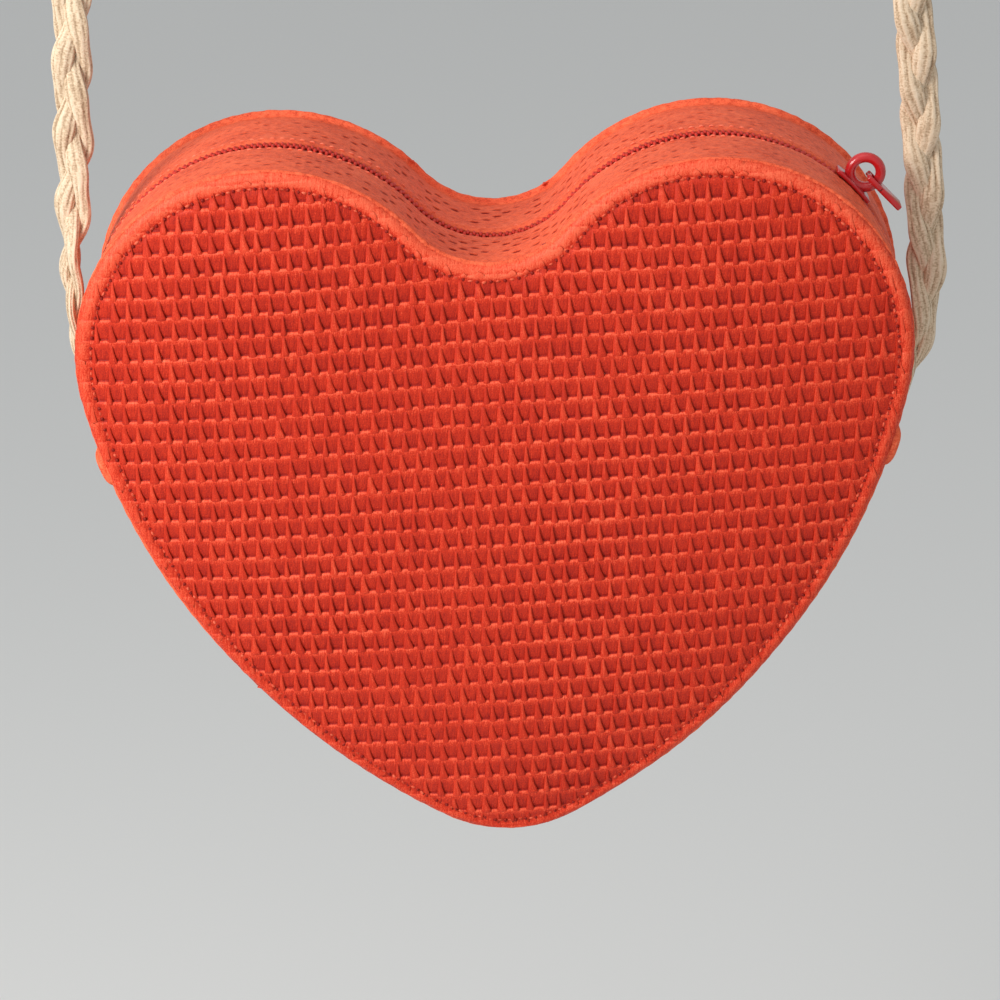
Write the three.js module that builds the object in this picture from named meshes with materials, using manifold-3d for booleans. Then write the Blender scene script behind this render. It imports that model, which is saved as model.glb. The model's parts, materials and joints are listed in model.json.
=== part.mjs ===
// A small heart-shaped crossbody bag of woven straw, hanging by its braided strap.
// Millimetres, +Z up, front towards -Y. The origin is under the top of the strap,
// where a peg or hook would carry it. Inside the bag group, Z counts from the level
// of the centres of the heart's two lobes.
import * as THREE from "three";
import { mergeVertices } from "three/addons/utils/BufferGeometryUtils.js";
import Module from "manifold-3d";

const wasm = await Module();
wasm.setup();

// The heart outline at the edge of the lips: lobe, cleft, side and tip arcs. The slope is that
// of the line from a lobe's centre to the centre of the cleft's arc.
const BAG_WIDTH = 200;
const LOBE_RADIUS = 47;
const CLEFT_SLOPE_DEG = 41;
const SIDE_RADIUS = 168;
const TIP_RADIUS = 33;
const TIP_CENTRE_DROP = 92;
const LOBE_STEPS = 18;
const CLEFT_STEPS = 6;
const UPPER_SIDE_STEPS = 3;
const LOWER_SIDE_STEPS = 7;
const TIP_STEPS = 3;

// The bag's depth over both lips, and the level of the side seams below the lobe centres
const BAG_DEPTH = 55;
const SEAM_DROP = 26;

// Clearance between pieces that are sewn together
const SEWN_GAP = 0.3;

// Straw cloth of the gussets, whose folded lip laps the edge of each panel
const GUSSET_THICKNESS = 1.2;
const GUSSET_INSET = 1;
const LIP_WIDTH = 3.4;
const LIP_THICKNESS = 1.2;

// Woven panels, whose field stands a little proud of the lips
const PANEL_THICKNESS = 1.6;
const PANEL_CROWN = 0.8;

// Cloth lining
const LINING_THICKNESS = 0.6;
const LINING_SETBACK = 6;

// The zip along the middle of the upper gusset
const ZIP_OPENING = 8.4;
const TAPE_WIDTH = 9.3;
const TAPE_THICKNESS = 0.6;
const COIL_WIDTH = 1.9;
const COIL_HEIGHT = 1.2;
const COIL_PARTING = 1.4;

// The slider, drawn on top of the right lobe and then turned along it to its place
const SLIDER_LENGTH = 10.8;
const SLIDER_WIDTH = 6.8;
const SLIDER_PLATE = 1;
const SLIDER_SOLE = 0.8;
const SLIDER_CLEARANCE = 0.3;
const SLIDER_POST_LENGTH = 5;
const SLIDER_POST_WIDTH = 0.7;
const SLIDER_TURN_DEG = 47;
const SLIDER_STEPS = 6;
const BRIDGE_HEIGHT = 8;
const BRIDGE_WIDTH = 3;
const BRIDGE_HOLE_LENGTH = 4.3;
const BRIDGE_HOLE_HEIGHT = 4.8;
const BRIDGE_HOLE_RISE = 3.4;
const BRIDGE_SINK = 0.5;

// The pull tab, a yoke round the bridge
const PULL_LENGTH = 12;
const PULL_WIDTH = 5.6;
const PULL_THICKNESS = 1.4;
const PULL_CLEARANCE = 0.4;
const PULL_PIN_RADIUS = 0.9;

// The bands that close the side seams
const BAND_HEIGHT = 10;
const BAND_THICKNESS = 1.2;
const BAND_STEPS = 3;

// The braided strap and its flattened ends, sewn on over the side seams
const STRAP_DIAMETER = 10;
const STRAP_SIDES = 10;
const STRAP_STEPS = 44;
const STRAP_TOP_RISE = 325;
const STRAP_END_WIDTH = 11;
const STRAP_END_THICKNESS = 2.6;
const STRAP_END_LAP = 4;
const STRAP_CLEARANCE = 0.5;

// The strap's middle line from the left end, up over the top, to the right end, where it passes
// behind the swing of the pull tab
const STRAP_ROUTE = [
  [-103.6, 0, -11.7], [-103.6, 0, -7], [-105, 0, 1], [-105.7, 0, 10], [-105.5, 0, 22],
  [-103.8, 0, 32], [-101.4, 0, 42], [-99.1, 0, 60], [-97.6, 0, 85], [-94.8, 0, 127],
  [-90.4, 0, 167], [-83.6, 0, 205], [-74, 0, 239], [-62, 0, 269], [-48.2, 0, 293],
  [-33, 0, 310.5], [-16.8, 0, 321.3], [0, 0, STRAP_TOP_RISE], [16.8, 0, 321.3],
  [33, 0, 310.5], [48.2, 0, 293], [62, 0, 269], [74, 0, 239], [84, 0, 205],
  [91.2, 0.2, 167], [96, 1.2, 127], [99.2, 3.4, 97], [101.6, 6, 75], [103.4, 8, 55],
  [104.3, 8.8, 40], [105, 8.2, 28], [105.9, 5.6, 12], [105.3, 2.2, 1], [103.6, 0, -7],
  [103.6, 0, -11.7],
];

const COLOURS = {
  panel: 0xc9432d,
  gusset: 0xd95a3e,
  lining: 0xb9675a,
  tape: 0xa52a22,
  coil: 0xb5302a,
  slider: 0xb81d22,
  strap: 0xd9c39a,
};

// A mesh with its own matt or glossy material
function piece(name, geometry, colour, roughness = 0.85, metalness = 0) {
  const material = new THREE.MeshStandardMaterial({ color: colour, roughness, metalness });
  const mesh = new THREE.Mesh(geometry, material);
  mesh.name = name;
  return mesh;
}

// A closed mesh as a solid, and solids joined into one body
function toSolid(geometry) {
  const bare = geometry.clone();
  bare.deleteAttribute("normal");
  bare.deleteAttribute("uv");
  const merged = mergeVertices(bare);
  const triVerts = new Uint32Array(merged.index.array);
  const vertProperties = merged.attributes.position.array;
  return new wasm.Manifold(new wasm.Mesh({ numProp: 3, vertProperties, triVerts }));
}

function joined(first, ...others) {
  const solid = others.reduce((sum, other) => sum.add(toSolid(other)), toSolid(first));
  const mesh = solid.getMesh();
  const geometry = new THREE.BufferGeometry();
  geometry.setAttribute("position", new THREE.BufferAttribute(mesh.vertProperties, 3));
  geometry.setIndex(new THREE.BufferAttribute(mesh.triVerts, 1));
  geometry.computeVertexNormals();
  return geometry;
}

// The centres of the arcs on the right half of the heart
const lobeCentre = new THREE.Vector2(BAG_WIDTH / 2 - LOBE_RADIUS, 0);
const tipCentre = new THREE.Vector2(0, -TIP_CENTRE_DROP);
const cleftSlope = THREE.MathUtils.degToRad(CLEFT_SLOPE_DEG);
const cleftCentre = new THREE.Vector2(0, lobeCentre.x * Math.tan(cleftSlope));
const cleftRadius = lobeCentre.x / Math.cos(cleftSlope) - LOBE_RADIUS;
const sideCentre = sideArcCentre();
const tipAngle = tipCentre.clone().sub(sideCentre).angle() - 2 * Math.PI;
const lobeAngle = lobeCentre.clone().sub(sideCentre).angle() - 2 * Math.PI;
const cleftAngle = Math.PI - cleftSlope;

// The side arc touches the lobe's and the tip's circles from outside
function sideArcCentre() {
  const span = tipCentre.distanceTo(lobeCentre);
  const fromTip = SIDE_RADIUS - TIP_RADIUS;
  const fromLobe = SIDE_RADIUS - LOBE_RADIUS;
  const along = (span ** 2 + fromTip ** 2 - fromLobe ** 2) / (2 * span);
  const across = Math.sqrt(fromTip ** 2 - along ** 2);
  const way = lobeCentre.clone().sub(tipCentre).divideScalar(span);
  return new THREE.Vector2(
    tipCentre.x + way.x * along - way.y * across,
    tipCentre.y + way.y * along + way.x * across,
  );
}

function arcPoints(centre, radius, from, to, steps) {
  return Array.from({ length: steps + 1 }, (_, i) => {
    const angle = from + ((to - from) * i) / steps;
    return new THREE.Vector2(
      centre.x + radius * Math.cos(angle),
      centre.y + radius * Math.sin(angle),
    );
  });
}

function mirrored(points) {
  return points.map((p) => new THREE.Vector2(-p.x, p.y)).reverse();
}

// The angle on the side arc, drawn in by inset, at a level
function sideAngleAt(level, inset) {
  return Math.asin((level - sideCentre.y) / (SIDE_RADIUS - inset));
}

function sideXAt(level, inset) {
  return sideCentre.x + (SIDE_RADIUS - inset) * Math.cos(sideAngleAt(level, inset));
}

// The heart above a level on its sides, drawn in by inset, from the right end to the left
function upperOutline(level, inset) {
  const side = arcPoints(
    sideCentre, SIDE_RADIUS - inset, sideAngleAt(level, inset), lobeAngle, UPPER_SIDE_STEPS,
  );
  const lobe = arcPoints(lobeCentre, LOBE_RADIUS - inset, lobeAngle, cleftAngle, LOBE_STEPS);
  const cleft = arcPoints(
    cleftCentre, cleftRadius + inset, cleftAngle - Math.PI, -Math.PI / 2, CLEFT_STEPS,
  );
  const half = [...side, ...lobe.slice(1), ...cleft.slice(1)];
  return [...half, ...mirrored(half).slice(1)];
}

// The heart below a level on its sides, from the left end to the right
function lowerOutline(level, inset) {
  const tip = arcPoints(tipCentre, TIP_RADIUS - inset, -Math.PI / 2, tipAngle, TIP_STEPS);
  const side = arcPoints(
    sideCentre, SIDE_RADIUS - inset, tipAngle, sideAngleAt(level, inset), LOWER_SIDE_STEPS,
  );
  const half = [...tip, ...side.slice(1)];
  return [...mirrored(half), ...half.slice(1)];
}

function wholeOutline(inset) {
  const level = -SEAM_DROP;
  return [...lowerOutline(level, inset), ...upperOutline(level, inset).slice(1, -1)];
}

// A strip that follows an outline between two insets
function strip(outline, level, outer, inner) {
  return [...outline(level, outer), ...outline(level, inner).reverse()];
}

// A flat outline in X and Z given its thickness along Y
function slab(points, yFrom, yTo) {
  const shape = new THREE.Shape(points);
  const geometry = new THREE.ExtrudeGeometry(shape, { depth: yTo - yFrom, bevelEnabled: false });
  return geometry.rotateX(Math.PI / 2).translate(0, yTo, 0);
}

// The same slab on the front or on the back of the bag: the sign of Y tells them apart
const FRONT = -1;
const BACK = 1;
function sideSlab(points, side, near, far) {
  return side === BACK ? slab(points, near, far) : slab(points, -far, -near);
}

// Levels where the upper pieces end and the lower pieces begin
const upperLevel = -SEAM_DROP + SEWN_GAP / 2;
const lowerLevel = -SEAM_DROP - SEWN_GAP / 2;

// Distances from the bag's middle plane, outside to inside
const lipFace = BAG_DEPTH / 2;
const panelFace = lipFace + PANEL_CROWN;
const panelEdgeFace = lipFace - LIP_THICKNESS - SEWN_GAP;
const panelBack = panelEdgeFace - PANEL_THICKNESS;
const liningFace = panelBack - SEWN_GAP;
const liningBack = liningFace - LINING_THICKNESS;

// Insets from the lips' edge, outside to inside
const gussetInner = GUSSET_INSET + GUSSET_THICKNESS;
const panelEdge = gussetInner + SEWN_GAP;
const fieldEdge = LIP_WIDTH + SEWN_GAP;
const tapeOuter = gussetInner + SEWN_GAP;
const tapeInner = tapeOuter + TAPE_THICKNESS;
const coilInner = tapeOuter - SEWN_GAP;
const coilOuter = coilInner - COIL_HEIGHT;
const zipLiningOuter = tapeInner + SEWN_GAP;
const bottomLiningOuter = gussetInner + SEWN_GAP;

const bag = new THREE.Group();

// Front panel in two stretches that fold at the level of the side seams, and back panel
function panel(name, edge, field, side) {
  const sheet = sideSlab(edge, side, panelBack, panelEdgeFace);
  const crown = sideSlab(field, side, panelBack, panelFace);
  bag.add(piece(name, joined(sheet, crown), COLOURS.panel));
}
panel(
  "front_panel_upper",
  upperOutline(upperLevel, panelEdge),
  upperOutline(upperLevel, fieldEdge),
  FRONT,
);
panel(
  "front_panel_lower",
  lowerOutline(lowerLevel, panelEdge),
  lowerOutline(lowerLevel, fieldEdge),
  FRONT,
);
panel("back_panel", wholeOutline(panelEdge), wholeOutline(fieldEdge), BACK);

// Upper gussets on both sides of the zip, each with the lip that laps its panel
for (const [name, side] of [["front_zip_gusset", FRONT], ["back_zip_gusset", BACK]]) {
  const wall = strip(upperOutline, upperLevel, GUSSET_INSET, gussetInner);
  const lip = strip(upperOutline, upperLevel, 0, LIP_WIDTH);
  const geometry = joined(
    sideSlab(wall, side, ZIP_OPENING / 2, lipFace),
    sideSlab(lip, side, lipFace - LIP_THICKNESS, lipFace),
  );
  bag.add(piece(name, geometry, COLOURS.gusset));
}

// Bottom gusset, from side seam to side seam round the tip, with a lip on each edge
const bottomWall = strip(lowerOutline, lowerLevel, GUSSET_INSET, gussetInner);
const bottomLip = strip(lowerOutline, lowerLevel, 0, LIP_WIDTH);
const bottomGusset = joined(
  slab(bottomWall, -lipFace, lipFace),
  sideSlab(bottomLip, FRONT, lipFace - LIP_THICKNESS, lipFace),
  sideSlab(bottomLip, BACK, lipFace - LIP_THICKNESS, lipFace),
);
bag.add(piece("bottom_gusset", bottomGusset, COLOURS.gusset));

// Lining of the panels and gussets
function lining(name, geometry) {
  bag.add(piece(name, geometry, COLOURS.lining, 0.9));
}
lining(
  "front_lining_upper",
  sideSlab(upperOutline(upperLevel, panelEdge), FRONT, liningBack, liningFace),
);
lining(
  "front_lining_lower",
  sideSlab(lowerOutline(lowerLevel, panelEdge), FRONT, liningBack, liningFace),
);
lining("back_lining", sideSlab(wholeOutline(panelEdge), BACK, liningBack, liningFace));
for (const [name, side] of [["front_zip_lining", FRONT], ["back_zip_lining", BACK]]) {
  const sheet = strip(
    upperOutline, upperLevel, zipLiningOuter, zipLiningOuter + LINING_THICKNESS,
  );
  lining(name, sideSlab(sheet, side, LINING_SETBACK, liningBack - SEWN_GAP));
}
const bottomSheet = strip(
  lowerOutline, lowerLevel, bottomLiningOuter, bottomLiningOuter + LINING_THICKNESS,
);
lining("bottom_lining", slab(bottomSheet, SEWN_GAP - liningBack, liningBack - SEWN_GAP));

// Zip tapes under the gusset edges, and the coil along each tape
for (const [half, side] of [["front", FRONT], ["back", BACK]]) {
  const tape = strip(upperOutline, upperLevel, tapeOuter, tapeInner);
  const coil = strip(upperOutline, upperLevel, coilOuter, coilInner);
  const near = COIL_PARTING / 2;
  const tapeSlab = sideSlab(tape, side, near, near + TAPE_WIDTH);
  const coilSlab = sideSlab(coil, side, near, near + COIL_WIDTH);
  bag.add(piece(half + "_zip_tape", tapeSlab, COLOURS.tape, 0.9));
  bag.add(piece(half + "_zip_coil", coilSlab, COLOURS.coil, 0.5));
}

// Slider and pull tab, turned about the centre of the right lobe
const zipPlace = new THREE.Group();
zipPlace.position.set(lobeCentre.x, 0, lobeCentre.y);
zipPlace.rotation.y = THREE.MathUtils.degToRad(SLIDER_TURN_DEG);
bag.add(zipPlace);

// A plate curved along the lobe between two radii
function lobePlate(length, width, inner, outer) {
  const half = length / 2 / LOBE_RADIUS;
  const from = Math.PI / 2 - half;
  const to = Math.PI / 2 + half;
  const lobe = new THREE.Vector2();
  const points = [
    ...arcPoints(lobe, outer, from, to, SLIDER_STEPS),
    ...arcPoints(lobe, inner, to, from, SLIDER_STEPS),
  ];
  return slab(points, -width / 2, width / 2);
}

const plateBottom = LOBE_RADIUS - coilOuter + SLIDER_CLEARANCE;
const plateTop = plateBottom + SLIDER_PLATE;
const soleTop = LOBE_RADIUS - tapeInner - SLIDER_CLEARANCE;
const soleBottom = soleTop - SLIDER_SOLE;
const pivotRise = plateTop + BRIDGE_HOLE_RISE;

function sliderBridge() {
  const arch = new THREE.Shape();
  const base = plateTop - BRIDGE_SINK;
  const halfLength = SLIDER_LENGTH / 2 - BRIDGE_SINK;
  arch.moveTo(halfLength, base);
  arch.absellipse(0, plateTop, halfLength, BRIDGE_HEIGHT, 0, Math.PI, false);
  arch.lineTo(-halfLength, base);
  const hole = new THREE.Path();
  hole.absellipse(
    0, pivotRise, BRIDGE_HOLE_LENGTH / 2, BRIDGE_HOLE_HEIGHT / 2, 0, 2 * Math.PI, false,
  );
  arch.holes.push(hole);
  const geometry = new THREE.ExtrudeGeometry(arch, {
    depth: BRIDGE_WIDTH,
    bevelEnabled: false,
    curveSegments: 20,
  });
  return geometry.rotateX(Math.PI / 2).translate(0, BRIDGE_WIDTH / 2, 0);
}

const slider = joined(
  lobePlate(SLIDER_LENGTH, SLIDER_WIDTH, plateBottom, plateTop),
  lobePlate(SLIDER_LENGTH, SLIDER_WIDTH, soleBottom, soleTop),
  lobePlate(SLIDER_POST_LENGTH, SLIDER_POST_WIDTH, soleBottom, plateTop),
  sliderBridge(),
);
zipPlace.add(piece("slider", slider, COLOURS.slider, 0.3));

// The pull lies along the zip, away from the slider: a pin through the bridge, two arms and a tab
function pullTab() {
  const armInner = BRIDGE_WIDTH / 2 + PULL_CLEARANCE;
  const armLength = Math.hypot(SLIDER_LENGTH / 2, BRIDGE_HOLE_RISE) + PULL_CLEARANCE;
  const low = pivotRise - PULL_THICKNESS / 2;
  const high = pivotRise + PULL_THICKNESS / 2;
  const bar = (from, to) => [
    new THREE.Vector2(from, low),
    new THREE.Vector2(to, low),
    new THREE.Vector2(to, high),
    new THREE.Vector2(from, high),
  ];
  const pin = new THREE.CylinderGeometry(PULL_PIN_RADIUS, PULL_PIN_RADIUS, PULL_WIDTH, 12);
  const arm = bar(-PULL_PIN_RADIUS, armLength + PULL_THICKNESS);
  const tab = bar(armLength, PULL_LENGTH);
  return joined(
    pin.translate(0, 0, pivotRise),
    slab(arm, armInner, PULL_WIDTH / 2),
    slab(arm, -PULL_WIDTH / 2, -armInner),
    slab(tab, -PULL_WIDTH / 2, PULL_WIDTH / 2),
  );
}
zipPlace.add(piece("pull_tab", pullTab(), COLOURS.slider, 0.3));

// Bands over the side seams, and the flattened strap ends sewn on over them
const bandOuter = GUSSET_INSET - SEWN_GAP - BAND_THICKNESS;
const bandInner = GUSSET_INSET - SEWN_GAP;
const bandReach = lipFace - LIP_THICKNESS - SEWN_GAP;
const bandTop = -SEAM_DROP + BAND_HEIGHT / 2;
const bandBottom = -SEAM_DROP - BAND_HEIGHT / 2;
const bandArc = (inset, from, to) =>
  arcPoints(
    sideCentre, SIDE_RADIUS - inset, sideAngleAt(from, inset), sideAngleAt(to, inset), BAND_STEPS,
  );
const rightBand = [
  ...bandArc(bandOuter, bandBottom, bandTop),
  ...bandArc(bandInner, bandTop, bandBottom),
];
const endTop = STRAP_ROUTE[0][2] - SEWN_GAP;
const endBottom = -SEAM_DROP - STRAP_END_LAP;
const endInner = Math.max(sideXAt(endTop, GUSSET_INSET), sideXAt(bandTop, bandOuter));
const endX = endInner + STRAP_CLEARANCE + STRAP_END_THICKNESS / 2;

const hanging = new THREE.Group();
for (const [name, hand] of [["left", -1], ["right", 1]]) {
  const outline = hand > 0 ? rightBand : mirrored(rightBand);
  bag.add(piece(name + "_seam_band", slab(outline, -bandReach, bandReach), COLOURS.gusset));
  const end = new THREE.BoxGeometry(STRAP_END_THICKNESS, STRAP_END_WIDTH, endTop - endBottom);
  const mesh = piece(name + "_strap_end", end, COLOURS.strap);
  mesh.position.set(hand * endX, 0, (endTop + endBottom) / 2);
  hanging.add(mesh);
}

// The braided strap from one end to the other
function strapTube() {
  const path = new THREE.CatmullRomCurve3(
    STRAP_ROUTE.map(([x, y, z]) => new THREE.Vector3(x, y, z)),
  );
  const section = arcPoints(
    new THREE.Vector2(), STRAP_DIAMETER / 2, 0, 2 * Math.PI, STRAP_SIDES,
  ).slice(0, -1);
  return new THREE.ExtrudeGeometry(new THREE.Shape(section), {
    steps: STRAP_STEPS,
    extrudePath: path,
    bevelEnabled: false,
  });
}
hanging.add(piece("strap", strapTube(), COLOURS.strap));

// Everything hangs below the strap's top
const crossbodyBag = new THREE.Group();
const lobeLevel = STRAP_DIAMETER / 2 - STRAP_TOP_RISE;
bag.position.z = lobeLevel;
hanging.position.z = lobeLevel;
crossbodyBag.add(bag, hanging);

export default crossbodyBag;
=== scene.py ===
import itertools
import json
import math
import random

import bmesh
import bpy
from mathutils import Matrix, Vector, geometry, kdtree, noise
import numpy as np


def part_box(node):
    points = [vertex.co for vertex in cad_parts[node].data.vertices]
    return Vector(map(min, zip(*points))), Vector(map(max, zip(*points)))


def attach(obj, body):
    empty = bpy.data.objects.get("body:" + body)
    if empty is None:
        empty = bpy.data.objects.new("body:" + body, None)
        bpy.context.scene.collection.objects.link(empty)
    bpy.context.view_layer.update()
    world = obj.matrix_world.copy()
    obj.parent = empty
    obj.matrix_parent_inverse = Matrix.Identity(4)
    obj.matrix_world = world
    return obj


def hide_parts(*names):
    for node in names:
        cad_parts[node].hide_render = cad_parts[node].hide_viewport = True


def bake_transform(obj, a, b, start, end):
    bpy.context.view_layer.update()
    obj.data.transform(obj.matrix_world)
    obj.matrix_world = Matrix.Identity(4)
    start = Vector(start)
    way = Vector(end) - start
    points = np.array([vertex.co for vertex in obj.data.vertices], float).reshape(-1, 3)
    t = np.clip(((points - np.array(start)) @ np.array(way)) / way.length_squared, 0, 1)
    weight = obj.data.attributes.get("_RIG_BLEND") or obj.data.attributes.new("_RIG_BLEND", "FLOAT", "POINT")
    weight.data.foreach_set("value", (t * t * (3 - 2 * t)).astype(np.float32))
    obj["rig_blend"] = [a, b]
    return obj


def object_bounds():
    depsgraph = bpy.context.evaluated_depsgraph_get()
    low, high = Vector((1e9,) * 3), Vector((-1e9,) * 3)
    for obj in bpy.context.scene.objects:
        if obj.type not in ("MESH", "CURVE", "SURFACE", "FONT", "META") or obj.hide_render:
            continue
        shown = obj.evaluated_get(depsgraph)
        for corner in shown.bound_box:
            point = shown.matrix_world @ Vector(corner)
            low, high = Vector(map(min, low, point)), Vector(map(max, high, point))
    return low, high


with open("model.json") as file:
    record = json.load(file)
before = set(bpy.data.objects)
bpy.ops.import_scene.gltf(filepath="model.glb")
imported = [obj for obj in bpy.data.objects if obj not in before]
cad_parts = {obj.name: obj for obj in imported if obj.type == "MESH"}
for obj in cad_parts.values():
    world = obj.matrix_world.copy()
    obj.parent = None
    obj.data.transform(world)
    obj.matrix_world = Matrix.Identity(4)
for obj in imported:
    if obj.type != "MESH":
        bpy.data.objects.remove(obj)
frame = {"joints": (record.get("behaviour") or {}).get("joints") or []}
cad_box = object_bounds()

# Studio: the bag hangs over a plain pale floor, seen from a little above and a little from the
# right. A soft light stands high on the left, a weaker one above, and a pale room fills in.
CAMERA_PLACE = Vector((0.0222, -0.8560, -0.0360))
CAMERA_AIM = Vector((-0.0005, 0, -0.3674))
CAMERA_ROLL = math.radians(-2.06)
CAMERA_LENS = 132.8
FLOOR_LEVEL = cad_box[0].z - 0.25
FLOOR_HALF = 6
FLOOR_COLOUR = (0.76, 0.77, 0.76, 1)
FLOOR_DARKEST = 0.97
FLOOR_CLOUD_SCALE = 1.5
FLOOR_ROUGHNESS = 0.9
ROOM_COLOUR = (0.86, 0.87, 0.88, 1)
ROOM_STRENGTH = 0.62
LIGHT_AIM = Vector((0, 0, -0.36))


def new_material(name):
    """An empty material, with its nodes, its links and its shader."""
    material = bpy.data.materials.new(name)
    material.use_nodes = True
    nodes = material.node_tree.nodes
    return material, nodes, material.node_tree.links, nodes["Principled BSDF"]


def object_cloud(nodes, links, scale):
    """A cloudy noise that is fixed to the piece."""
    places = nodes.new("ShaderNodeTexCoord")
    cloud = nodes.new("ShaderNodeTexNoise")
    cloud.inputs["Scale"].default_value = scale
    links.new(places.outputs["Object"], cloud.inputs["Vector"])
    return cloud


def tint_by(nodes, links, share, dark, light):
    """Sets the base colour between two colours, by a share that changes over the surface."""
    tint = nodes.new("ShaderNodeMix")
    tint.data_type = "RGBA"
    tint.inputs[6].default_value = dark
    tint.inputs[7].default_value = light
    links.new(share, tint.inputs[0])
    links.new(tint.outputs[2], nodes["Principled BSDF"].inputs["Base Color"])


def floor_material():
    """Matt paint with a faint unevenness."""
    material, nodes, links, shader = new_material("floor_paint")
    shader.inputs["Roughness"].default_value = FLOOR_ROUGHNESS
    darkest = [FLOOR_DARKEST * part for part in FLOOR_COLOUR[:3]] + [1]
    cloud = object_cloud(nodes, links, FLOOR_CLOUD_SCALE)
    tint_by(nodes, links, cloud.outputs["Fac"], darkest, FLOOR_COLOUR)
    return material


def add_piece(name, bm, material):
    """The finished mesh as an object at the origin, smooth shaded."""
    mesh = bpy.data.meshes.new(name)
    bm.to_mesh(mesh)
    bm.free()
    mesh.shade_smooth()
    mesh.materials.append(material)
    piece = bpy.data.objects.new(name, mesh)
    bpy.context.scene.collection.objects.link(piece)
    return piece


def soft_light(name, place, size, power, tint):
    """A square soft light at place, turned to the bag."""
    lamp = bpy.data.lights.new(name, "AREA")
    lamp.size = size
    lamp.energy = power
    lamp.color = tint
    light = bpy.data.objects.new(name, lamp)
    aim = (LIGHT_AIM - place).to_track_quat("-Z", "Y")
    light.matrix_world = Matrix.Translation(place) @ aim.to_matrix().to_4x4()
    bpy.context.scene.collection.objects.link(light)


lens = bpy.data.cameras.new("camera")
lens.lens = CAMERA_LENS
camera = bpy.data.objects.new("camera", lens)
view_turn = (CAMERA_AIM - CAMERA_PLACE).to_track_quat("-Z", "Y").to_matrix().to_4x4()
camera.matrix_world = (
    Matrix.Translation(CAMERA_PLACE) @ view_turn @ Matrix.Rotation(CAMERA_ROLL, 4, "Z")
)
bpy.context.scene.collection.objects.link(camera)
bpy.context.scene.camera = camera
bpy.context.scene.view_settings.view_transform = "Standard"

floor_mesh = bmesh.new()
bmesh.ops.create_grid(
    floor_mesh, x_segments=4, y_segments=4, size=FLOOR_HALF,
    matrix=Matrix.Translation((0, 0, FLOOR_LEVEL)),
)
add_piece("floor", floor_mesh, floor_material())

room = bpy.data.worlds.new("room")
room.use_nodes = True
room.node_tree.nodes["Background"].inputs["Color"].default_value = ROOM_COLOUR
room.node_tree.nodes["Background"].inputs["Strength"].default_value = ROOM_STRENGTH
bpy.context.scene.world = room
soft_light("key_light", Vector((-0.62, -0.55, 0.06)), size=0.45, power=8, tint=(1, 0.98, 0.95))
soft_light("top_light", Vector((-0.1, -0.3, 0.7)), size=0.9, power=1.5, tint=(1, 0.98, 0.96))

# The heart: both panels and the gussets between them follow one outline of touching arcs, the
# edge of the lips. It is measured round from the tip, up the right side and over both lobes.
MM = 0.001
LOBE_RADIUS = 47 * MM
CLEFT_SLOPE = math.radians(41)
SIDE_RADIUS = 168 * MM
TIP_RADIUS = 33 * MM
TIP_CENTRE_DROP = 92 * MM
EDGE_STEP = 0.25 * MM

joints = {joint["name"]: joint for joint in frame["joints"]}
lobe_centre = Vector(joints["slider_run"]["pos_m"])
seam_level = joints["bag_swing"]["pos_m"][2]
tip_centre = Vector((0, 0, lobe_centre.z - TIP_CENTRE_DROP))
cleft_centre = Vector((0, 0, lobe_centre.z + lobe_centre.x * math.tan(CLEFT_SLOPE)))
cleft_radius = lobe_centre.x / math.cos(CLEFT_SLOPE) - LOBE_RADIUS
side_choices = geometry.intersect_sphere_sphere_2d(
    tip_centre.xz, SIDE_RADIUS - TIP_RADIUS, lobe_centre.xz, SIDE_RADIUS - LOBE_RADIUS
)
side_xz = min(side_choices, key=lambda choice: choice.x)
side_centre = Vector((side_xz.x, 0, side_xz.y))


def bearing(point, centre):
    """Angle of point about centre in the heart's plane."""
    return math.atan2(point.z - centre.z, point.x - centre.x)


tip_turn = bearing(tip_centre, side_centre)
lobe_turn = bearing(lobe_centre, side_centre)
right_arcs = [
    (tip_centre, TIP_RADIUS, -math.pi / 2, tip_turn),
    (side_centre, SIDE_RADIUS, tip_turn, lobe_turn),
    (lobe_centre, LOBE_RADIUS, lobe_turn, math.pi - CLEFT_SLOPE),
    (cleft_centre, cleft_radius, -CLEFT_SLOPE, -math.pi / 2),
]
left_arcs = [
    (Vector((-centre.x, 0, centre.z)), radius, math.pi - end, math.pi - start)
    for centre, radius, start, end in reversed(right_arcs)
]
heart_arcs = right_arcs + left_arcs
heart_length = sum(radius * abs(end - start) for _, radius, start, end in heart_arcs)


def heart(way):
    """Point and outward direction on the heart, way metres round from its tip."""
    way %= heart_length
    for centre, radius, start, end in heart_arcs:
        length = radius * abs(end - start)
        if way <= length:
            break
        way -= length
    turn = start + (end - start) * min(way / length, 1)
    spoke = Vector((math.cos(turn), 0, math.sin(turn)))
    return centre + radius * spoke, spoke if end > start else -spoke


seam_turn = math.asin((seam_level - side_centre.z) / SIDE_RADIUS)
right_seam = TIP_RADIUS * (tip_turn + math.pi / 2) + SIDE_RADIUS * (seam_turn - tip_turn)
left_seam = heart_length - right_seam
cleft_way = heart_length / 2

edge_count = round(heart_length / EDGE_STEP)
edge_tree = kdtree.KDTree(edge_count)
edge_outward = []
for number in range(edge_count):
    edge_point, outward = heart(number * heart_length / edge_count)
    edge_tree.insert(edge_point, number)
    edge_outward.append(outward)
edge_tree.balance()


def inset_at(x, z):
    """How far inside the edge of the lips a place is, with the edge's nearest point, outward
    direction and way round there."""
    place = Vector((x, 0, z))
    near, number, _ = edge_tree.find(place)
    outward = edge_outward[number]
    return (near - place).dot(outward), near, outward, number * heart_length / edge_count


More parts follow.
